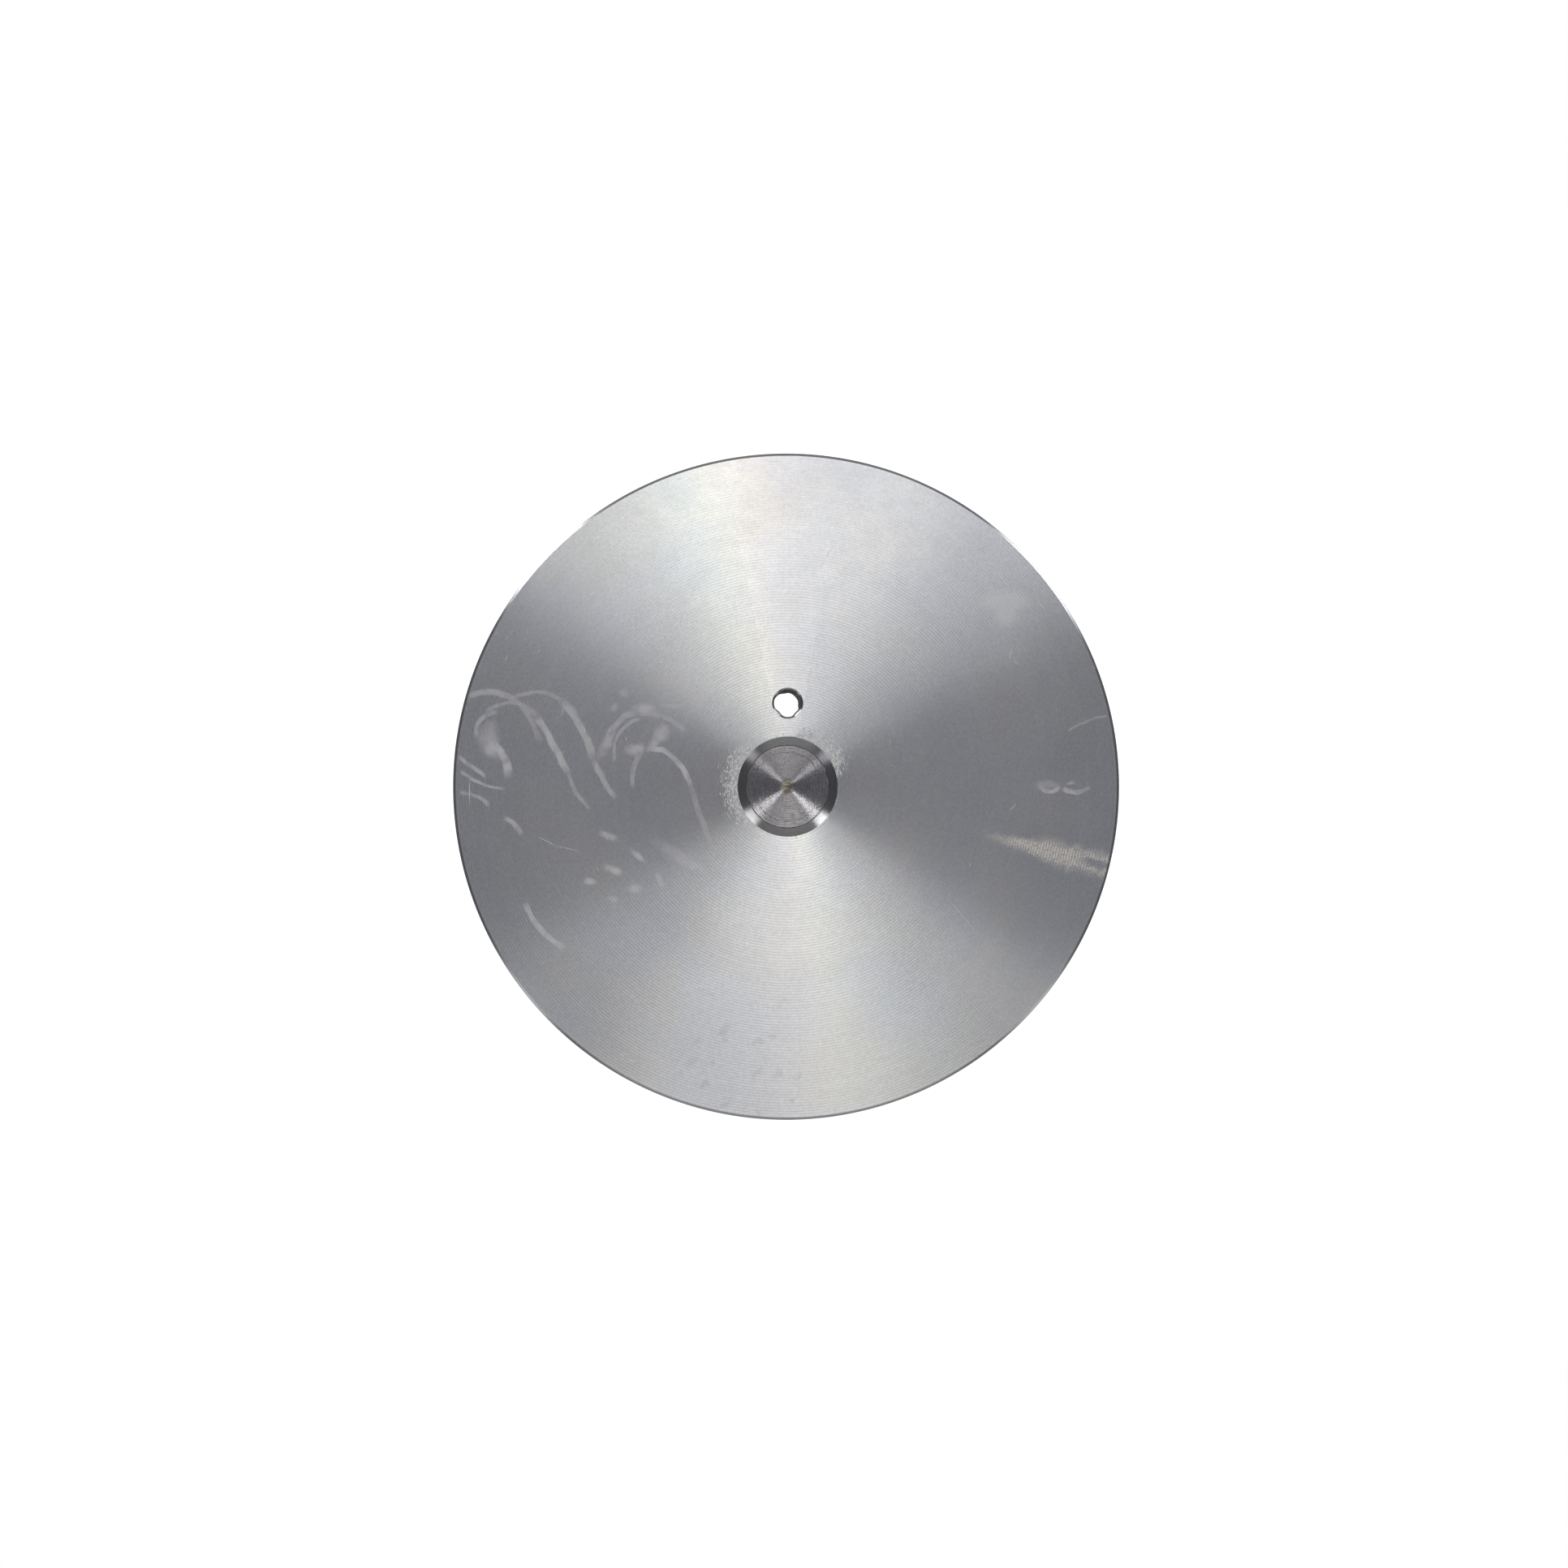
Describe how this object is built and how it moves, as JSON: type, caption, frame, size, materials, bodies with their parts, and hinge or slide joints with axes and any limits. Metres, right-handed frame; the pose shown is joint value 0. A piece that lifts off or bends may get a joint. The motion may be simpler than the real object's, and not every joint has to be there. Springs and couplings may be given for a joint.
{
  "type": "brake disc rotor",
  "caption": "Solid turned-steel brake disc rotor with an off-centre drive hole, pressed on a short spindle that turns in two sealed ball bearings inside a carrier tube.",
  "frame": {"origin": "on the spin axis, at the carrier's rear end face, which the part stands on", "axes": "+Z along the spin axis towards the rotor's turned front face; +Y from the axis towards the drive-pin hole; +X completes the right-handed set"},
  "size_m": [0.12, 0.12, 0.048],
  "materials": {
    "turned_steel": "face-turned, fine concentric lathe grooves",
    "spindle_steel": "turned end face, ground journals",
    "black_oxide": "black oxide on steel",
    "carrier_steel": "fine turned",
    "bearing_steel": "ground and polished",
    "zinc_steel": "bright zinc plate",
    "seal_rubber": "matt moulded rubber",
    "cage_nylon": "natural moulded nylon",
    "insert_nylon": "moulded nylon"
  },
  "bodies": {
    "carrier": {"bearing_carrier": "carrier_steel", "carrier_circlip": "black_oxide", "front_bearing_outer_ring": "bearing_steel", "front_bearing_upper_seal": "seal_rubber", "front_bearing_lower_seal": "seal_rubber", "rear_bearing_outer_ring": "bearing_steel", "rear_bearing_upper_seal": "seal_rubber", "rear_bearing_lower_seal": "seal_rubber"},
    "rotor": {"rotor_disc": "turned_steel", "spindle": "spindle_steel", "set_screw_left": "black_oxide", "set_screw_right": "black_oxide", "spacer_sleeve": "zinc_steel", "spindle_washer": "zinc_steel", "lock_nut": "zinc_steel", "lock_nut_insert": "insert_nylon", "front_bearing_inner_ring": "bearing_steel", "rear_bearing_inner_ring": "bearing_steel"},
    "front_cage": {"front_bearing_cage": "cage_nylon", "front_bearing_ball_01": "bearing_steel", "front_bearing_ball_02": "bearing_steel", "front_bearing_ball_03": "bearing_steel", "front_bearing_ball_04": "bearing_steel", "front_bearing_ball_05": "bearing_steel", "front_bearing_ball_06": "bearing_steel", "front_bearing_ball_07": "bearing_steel", "front_bearing_ball_08": "bearing_steel", "front_bearing_ball_09": "bearing_steel", "front_bearing_ball_10": "bearing_steel", "front_bearing_ball_11": "bearing_steel"},
    "rear_cage": {"rear_bearing_cage": "cage_nylon", "rear_bearing_ball_01": "bearing_steel", "rear_bearing_ball_02": "bearing_steel", "rear_bearing_ball_03": "bearing_steel", "rear_bearing_ball_04": "bearing_steel", "rear_bearing_ball_05": "bearing_steel", "rear_bearing_ball_06": "bearing_steel", "rear_bearing_ball_07": "bearing_steel", "rear_bearing_ball_08": "bearing_steel", "rear_bearing_ball_09": "bearing_steel", "rear_bearing_ball_10": "bearing_steel", "rear_bearing_ball_11": "bearing_steel"}
  },
  "joints": [
    {"name": "rotor_spin", "type": "hinge", "parent": "carrier", "child": "rotor", "pos_m": [0, 0, 0.031], "axis": [0, 0, 1], "continuous": true},
    {"name": "front_cage_orbit", "type": "hinge", "parent": "carrier", "child": "front_cage", "pos_m": [0, 0, 0.031], "axis": [0, 0, 1], "continuous": true},
    {"name": "rear_cage_orbit", "type": "hinge", "parent": "carrier", "child": "rear_cage", "pos_m": [0, 0, 0.0115], "axis": [0, 0, 1], "continuous": true}
  ],
  "couplings": [
    {"joint": "front_cage_orbit", "follows": "rotor_spin", "ratio": 0.41793},
    {"joint": "rear_cage_orbit", "follows": "rotor_spin", "ratio": 0.41793}
  ]
}
